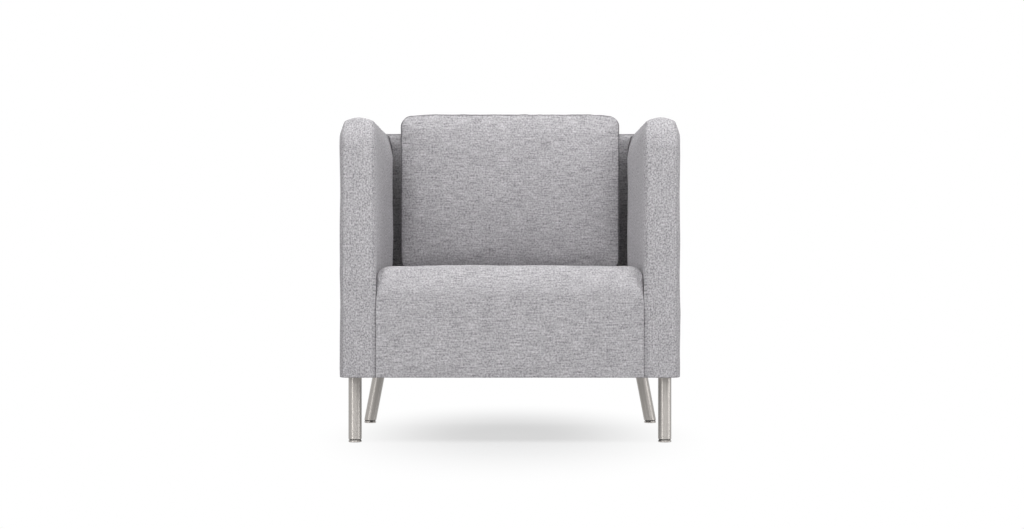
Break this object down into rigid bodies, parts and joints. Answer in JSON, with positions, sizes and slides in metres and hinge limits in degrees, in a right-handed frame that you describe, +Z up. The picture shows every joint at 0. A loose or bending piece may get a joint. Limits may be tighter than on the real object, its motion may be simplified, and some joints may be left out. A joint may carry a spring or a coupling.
{
  "type": "upholstered armchair",
  "caption": "Compact box armchair with padded arms as high as its back, a loose back cushion and round metal tube legs, the rear ones splayed.",
  "frame": {"origin": "on the floor, under the middle of the chair's box", "axes": "+Z up; the chair faces -Y; +X is to the right of someone who looks at its front"},
  "size_m": [0.76, 0.732, 0.772],
  "materials": {
    "black_nylon": "matte",
    "dust_cloth": "matte",
    "felt": "matte",
    "foam": "matte",
    "hardboard": "matte",
    "pine": "matte",
    "satin_nickel": "satin",
    "spring_steel": "satin",
    "webbing": "matte",
    "white_nylon": "satin",
    "woven_cover": "matte",
    "zinc_steel": "satin",
    "zip_metal": "satin",
    "zip_tape": "matte"
  },
  "bodies": {
    "chair": {"arm_bottom_rail_left": "pine", "arm_bottom_rail_right": "pine", "arm_cover_left": "woven_cover", "arm_cover_right": "woven_cover", "arm_front_post_left": "pine", "arm_front_post_right": "pine", "arm_inner_board_left": "hardboard", "arm_inner_board_right": "hardboard", "arm_outer_board_left": "hardboard", "arm_outer_board_right": "hardboard", "arm_padding_left": "foam", "arm_padding_right": "foam", "arm_rear_post_left": "pine", "arm_rear_post_right": "pine", "arm_top_rail_left": "pine", "arm_top_rail_right": "pine", "back_bottom_rail": "pine", "back_cover": "woven_cover", "back_padding": "foam", "back_post_left": "pine", "back_post_right": "pine", "back_rear_board": "hardboard", "back_top_rail": "pine", "back_webbing": "webbing", "corner_blocks": "pine", "dust_cover": "dust_cloth", "frame_bolts": "zinc_steel", "frame_nuts": "zinc_steel", "front_leg_left": "satin_nickel", "front_leg_plugs": "black_nylon", "front_leg_right": "satin_nickel", "joint_blocks": "pine", "leg_screws": "zinc_steel", "rear_leg_left": "satin_nickel", "rear_leg_plugs": "black_nylon", "rear_leg_right": "satin_nickel", "seat_cover": "woven_cover", "seat_foam": "foam", "seat_front_padding": "foam", "seat_front_rail": "pine", "seat_rear_rail": "pine", "seat_side_rail_left": "pine", "seat_side_rail_right": "pine", "seat_springs": "spring_steel", "spring_clips": "white_nylon", "spring_insulator": "felt"},
    "back_cushion": {"cushion_core": "foam", "cushion_cover": "woven_cover", "zip_tape": "zip_tape"},
    "zip_runner": {"zip_slider": "zip_metal"},
    "glide_foot_front_left": {"glide_base_front_left": "satin_nickel"},
    "glide_screw_front_left": {"glide_stud_front_left": "zinc_steel"},
    "glide_foot_front_right": {"glide_base_front_right": "satin_nickel"},
    "glide_screw_front_right": {"glide_stud_front_right": "zinc_steel"},
    "glide_foot_rear_left": {"glide_base_rear_left": "satin_nickel"},
    "glide_screw_rear_left": {"glide_stud_rear_left": "zinc_steel"},
    "glide_foot_rear_right": {"glide_base_rear_right": "satin_nickel"},
    "glide_screw_rear_right": {"glide_stud_rear_right": "zinc_steel"}
  },
  "joints": [
    {"name": "cushion_lift", "type": "slide", "parent": "chair", "child": "back_cushion", "axis": [0, 0, 1], "range_m": [0, 0.36]},
    {"name": "zip_run", "type": "slide", "parent": "back_cushion", "child": "zip_runner", "axis": [1, 0, 0], "range_m": [0, 0.45]},
    {"name": "glide_height_front_left", "type": "slide", "parent": "chair", "child": "glide_foot_front_left", "axis": [0, 0, -1], "range_m": [0, 0.01]},
    {"name": "glide_turn_front_left", "type": "hinge", "parent": "glide_foot_front_left", "child": "glide_screw_front_left", "pos_m": [-0.3495, -0.319, 0], "axis": [0, 0, -1], "range_deg": [0, 2880]},
    {"name": "glide_height_front_right", "type": "slide", "parent": "chair", "child": "glide_foot_front_right", "axis": [0, 0, -1], "range_m": [0, 0.01]},
    {"name": "glide_turn_front_right", "type": "hinge", "parent": "glide_foot_front_right", "child": "glide_screw_front_right", "pos_m": [0.3495, -0.319, 0], "axis": [0, 0, -1], "range_deg": [0, 2880]},
    {"name": "glide_height_rear_left", "type": "slide", "parent": "chair", "child": "glide_foot_rear_left", "axis": [0, 0, -1], "range_m": [0, 0.01]},
    {"name": "glide_turn_rear_left", "type": "hinge", "parent": "glide_foot_rear_left", "child": "glide_screw_rear_left", "pos_m": [-0.3544, 0.283, 0], "axis": [0, 0, -1], "range_deg": [0, 2880]},
    {"name": "glide_height_rear_right", "type": "slide", "parent": "chair", "child": "glide_foot_rear_right", "axis": [0, 0, -1], "range_m": [0, 0.01]},
    {"name": "glide_turn_rear_right", "type": "hinge", "parent": "glide_foot_rear_right", "child": "glide_screw_rear_right", "pos_m": [0.3544, 0.283, 0], "axis": [0, 0, -1], "range_deg": [0, 2880]}
  ],
  "couplings": [
    {"joint": "glide_turn_front_left", "follows": "glide_height_front_left", "rad_per_m": 5026.5},
    {"joint": "glide_turn_front_right", "follows": "glide_height_front_right", "rad_per_m": 5026.5},
    {"joint": "glide_turn_rear_left", "follows": "glide_height_rear_left", "rad_per_m": 5026.5},
    {"joint": "glide_turn_rear_right", "follows": "glide_height_rear_right", "rad_per_m": 5026.5}
  ]
}
